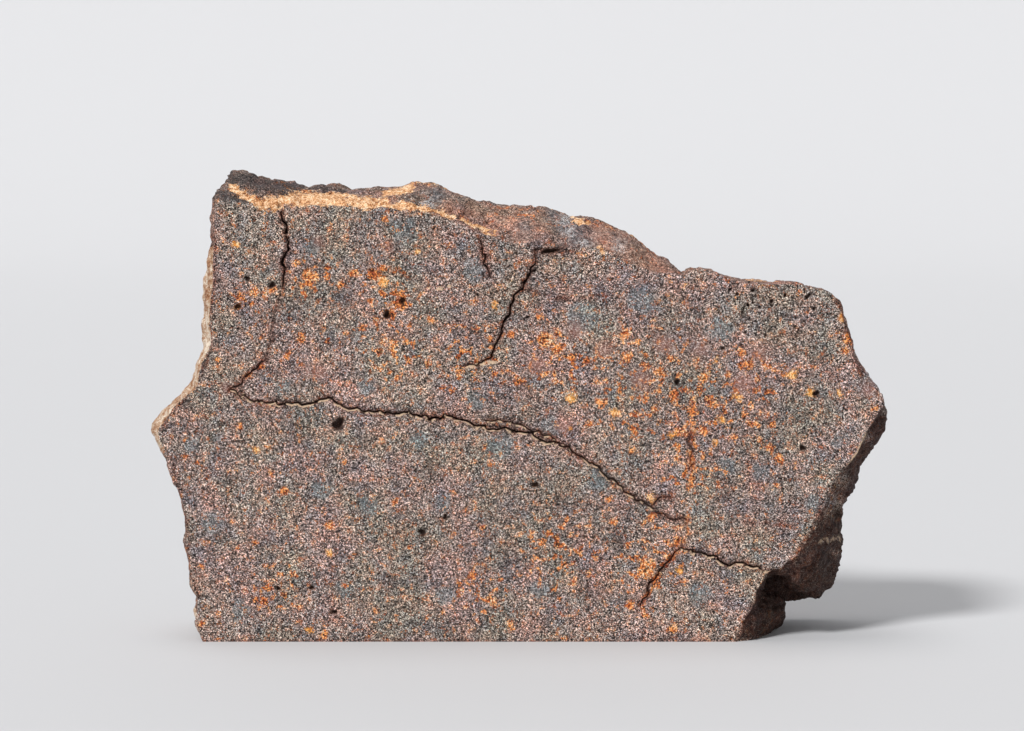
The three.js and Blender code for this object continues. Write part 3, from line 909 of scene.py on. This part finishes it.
def with_rust(nodes, patterns, colour):
    """Rust turns a share of the grains and stains those round them."""
    sprinkled = nodes.math("MULTIPLY", nodes.mark("rusty"), nodes.ramp(patterns.cluster, SPRINKLED))
    rust = nodes.math("MAXIMUM", nodes.mark("rust"), sprinkled)
    uneven = nodes.math("MULTIPLY", rust, nodes.math("ADD", patterns.blotch, 0.5))
    turned = nodes.math("LESS_THAN", patterns.fine["Blue"], nodes.math("MULTIPLY_ADD", uneven, 2.1, -0.62))
    stained = nodes.mix(nodes.math("MULTIPLY", rust, 0.5), colour, RUST_CAST, "MULTIPLY")
    rust_colour = nodes.ramp(rust_hue(nodes, patterns), RUST_COLOURS)
    rust_colour = nodes.mix(nodes.share("yellow", 0.4), rust_colour, YELLOW_RUST)
    colour = nodes.mix(turned, stained, rust_colour)
    # Painted shade of small pits where the rust is thickest.
    shaded_pits = nodes.math("GREATER_THAN", nodes.math("MULTIPLY", rust, patterns.streak), 0.53)
    colour = nodes.mix(nodes.math("MULTIPLY", shaded_pits, 0.85), colour, PAINTED_SHADE_IN_RUST_PITS)
    red_share = nodes.math("MULTIPLY_ADD", patterns.cluster, 0.5, -0.22)
    scattered = nodes.math("LESS_THAN", patterns.grain["Blue"], red_share)
    return nodes.mix(nodes.math("MULTIPLY", scattered, 0.75), colour, RED_GRAIN)


def with_stains(nodes, patterns, colour):
    colour = nodes.mix(nodes.share("pink", 0.45), colour, PINK_GRAIN)
    # Stains, and the painted shadow under the ledge.
    colour = nodes.mix(nodes.share("stain_and_shadow", 0.85), colour, STAIN_AND_SHADOW_CAST, "MULTIPLY")
    cream = nodes.math("MULTIPLY_ADD", patterns.fine["Blue"], 0.6, nodes.mark("tan"))
    cream = nodes.math("GREATER_THAN", cream, 0.74)
    return nodes.mix(nodes.math("MULTIPLY", cream, 0.8), colour, CREAM_LIP)


def with_weathered_faces(nodes, patterns, colour):
    """The top and the left side: earthy, with layered rock, grey and white patches and rosy ones."""
    colour = nodes.mix(nodes.share("weathered", 0.8), colour, WEATHERED_CAST, "MULTIPLY")
    colour = nodes.mix(nodes.share("weathered", 0.14), colour, nodes.ramp(patterns.blotch, EARTHY_COLOURS))
    colour = nodes.mix(nodes.mark("layered"), colour, LAYERED_CAST, "MULTIPLY")
    colour = nodes.mix(nodes.share("layered", 0.4), colour, nodes.ramp(patterns.blotch, LAYERED_COLOURS))
    colour = nodes.mix(nodes.share("grey", 0.75), colour, nodes.ramp(patterns.blotch, GREY_COLOURS))
    whitish = nodes.math("LESS_THAN", patterns.fine["Blue"], nodes.share("white", 0.34))
    colour = nodes.mix(nodes.math("MULTIPLY", whitish, 0.8), colour, WHITE_GRAIN)
    colour = nodes.mix(nodes.mark("rosy"), colour, ROSY_CAST, "MULTIPLY")
    return nodes.mix(nodes.share("rosy", 0.32), colour, nodes.ramp(patterns.blotch, ROSY_COLOURS))


def with_broken_faces(nodes, patterns, colour):
    # Painted shade: the broken faces are coloured darker than their own brown.
    shaded_break = nodes.mix(0.08, nodes.ramp(patterns.streak, BROKEN_AND_SHADED_COLOURS), colour)
    # Painted glints: a few grains of the broken faces are coloured bright.
    painted_glints = nodes.math("GREATER_THAN", patterns.fine["Blue"], 0.95)
    shaded_break = nodes.mix(nodes.math("MULTIPLY", painted_glints, 0.35), shaded_break, PAINTED_GLINT)
    return nodes.mix(nodes.mark("broken"), colour, shaded_break)


def with_rind_and_crust(nodes, patterns, colour):
    """The tan rind along the top and the cream crust on the left side."""
    streaks = nodes.math("MULTIPLY_ADD", patterns.streak, 2.2, -0.88)
    rind_place = nodes.math("MULTIPLY_ADD", patterns.fine["Red"], 0.65, streaks)
    rind = nodes.math("MULTIPLY_ADD", patterns.blotch, 0.9, nodes.mark("rind"))
    rind = nodes.math("MULTIPLY_ADD", patterns.fine["Blue"], 0.35, rind)
    rind = nodes.math("MULTIPLY", nodes.math("GREATER_THAN", rind, 1.12), 0.95)
    colour = nodes.mix(rind, colour, nodes.ramp(rind_place, RIND_COLOURS))
    cream_place = nodes.math("MULTIPLY_ADD", nodes.math("SUBTRACT", patterns.clump, 0.5), 2.2, rind_place)
    crust = nodes.math("MULTIPLY_ADD", patterns.blotch, 0.6, nodes.mark("crust"))
    crust = nodes.math("MULTIPLY", nodes.math("GREATER_THAN", crust, 0.75), 0.95)
    return nodes.mix(crust, colour, nodes.ramp(cream_place, CREAM_COLOURS))


def stone_material():
    material = bpy.data.materials.new("olivine_stone_grain")
    material.use_nodes = True
    nodes = Nodes(material)
    shader = material.node_tree.nodes["Principled BSDF"]
    patterns = Patterns(nodes)
    colour = grain_colour(nodes, patterns)
    colour = with_mineral_bodies(nodes, patterns, colour)
    colour = with_rust(nodes, patterns, colour)
    colour = with_stains(nodes, patterns, colour)
    colour = with_weathered_faces(nodes, patterns, colour)
    colour = with_broken_faces(nodes, patterns, colour)
    colour = with_rind_and_crust(nodes, patterns, colour)
    # Painted shade inside cracks and pits.
    colour = nodes.mix(nodes.share("hollow", 0.92), colour, PAINTED_SHADE_IN_HOLLOWS)
    material.node_tree.links.new(colour, shader.inputs["Base Color"])

    gloss = nodes.math("MULTIPLY_ADD", patterns.fine["Green"], -0.25, 0.9)
    material.node_tree.links.new(gloss, shader.inputs["Roughness"])
    shader.inputs["Specular IOR Level"].default_value = 0.25
    grit = nodes.math("MULTIPLY", patterns.fine["Red"], 0.35)
    grit = nodes.math("ADD", grit, nodes.noise(patterns.place, 5.0, 3.0, 0.7))
    bump = nodes.add("ShaderNodeBump", inputs={"Height": grit, "Strength": 0.6, "Distance": 0.00007})
    material.node_tree.links.new(bump.outputs["Normal"], shader.inputs["Normal"])
    return material


# Stage


def plain_material(name, colour, roughness):
    material = bpy.data.materials.new(name)
    material.use_nodes = True
    shader = material.node_tree.nodes["Principled BSDF"]
    shader.inputs["Base Color"].default_value = (*colour, 1)
    shader.inputs["Roughness"].default_value = roughness
    return material


def add_backdrop():
    """A pale floor that curves up far behind the stone."""
    start, turn, radius, top = -3, 1.2, 1.2, 3
    angles = np.linspace(0, math.pi / 2, 25)
    bend = [(turn + radius * math.sin(a), radius * (1 - math.cos(a))) for a in angles]
    section = [(start, 0), *bend, (turn + radius, top)]
    points = [(x, y, z) for y, z in section for x in (-4, 4)]
    strips = [(2 * i, 2 * i + 1, 2 * i + 3, 2 * i + 2) for i in range(len(section) - 1)]
    mesh = bpy.data.meshes.new("pale_floor")
    mesh.from_pydata(points, [], strips)
    mesh.shade_smooth()
    mesh.materials.append(plain_material("pale_floor", (0.6, 0.6, 0.61), 0.8))
    floor = bpy.data.objects.new("pale_floor", mesh)
    bpy.context.scene.collection.objects.link(floor)


def add_sun(name, direction, strength, softness):
    """A far soft light that shines from a direction."""
    light = bpy.data.lights.new(name, "SUN")
    light.energy = strength
    light.angle = math.radians(softness)
    lamp = bpy.data.objects.new(name, light)
    lamp.rotation_euler = Vector(direction).to_track_quat("Z", "Y").to_euler()
    bpy.context.scene.collection.objects.link(lamp)


def add_studio():
    add_sun("key_light", (-0.55, -0.75, 0.85), 2.75, 12)
    add_sun("top_light", (-0.15, 0.1, 1), 0.7, 30)
    world = bpy.data.worlds.new("pale_studio")
    world.use_nodes = True
    world.node_tree.nodes["Background"].inputs["Color"].default_value = (0.93, 0.94, 0.96, 1)
    world.node_tree.nodes["Background"].inputs["Strength"].default_value = 0.36
    bpy.context.scene.world = world
    bpy.context.scene.view_settings.view_transform = "Standard"


def add_camera(drawing):
    data = bpy.data.cameras.new("camera")
    data.lens = LENS
    data.sensor_width = SENSOR
    data.clip_start = 0.01
    camera = bpy.data.objects.new("camera", data)
    place, aim = (Vector(drawing.to_frame(p)) for p in (CAMERA_AT, CAMERA_AIM))
    camera.location = place
    camera.rotation_euler = (aim - place).to_track_quat("-Z", "Y").to_euler()
    bpy.context.scene.collection.objects.link(camera)
    bpy.context.scene.camera = camera


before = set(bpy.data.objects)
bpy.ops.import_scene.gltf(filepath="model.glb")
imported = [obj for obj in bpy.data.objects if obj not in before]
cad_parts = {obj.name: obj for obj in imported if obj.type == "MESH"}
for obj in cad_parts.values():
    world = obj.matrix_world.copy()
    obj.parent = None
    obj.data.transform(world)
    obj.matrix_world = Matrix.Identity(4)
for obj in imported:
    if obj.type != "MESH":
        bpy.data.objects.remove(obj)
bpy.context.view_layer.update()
cad_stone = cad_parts["olivine_stone"]
drawing = Drawing(cad_stone)
add_camera(drawing)
add_studio()
add_backdrop()

corners, triangles = welded(cad_stone, drawing)
front_outline = side_outline(corners, triangles, 1, 0)
hollows = Hollows(front_outline)
places, faces = voxel_copy(cad_stone, drawing)
places, faces = relay_side(places, faces, front_outline, 1, 0, FRONT_SPACING, hollows)
for axis, level in ((1, THICKNESS), (2, 0)):
    outline = side_outline(corners, triangles, axis, level)
    places, faces = relay_side(places, faces, outline, axis, level, PLAIN_SPACING)
places, faces = used_only(places, faces)

normals = vertex_normals(places, faces)
named, hollow = marks_on(places, normals, front_outline, hollows)
stone = stone_piece(drawing, shaped(places, normals, named, hollow), faces, named)
stone.data.materials.append(stone_material())
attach(stone, "root")
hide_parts("olivine_stone")
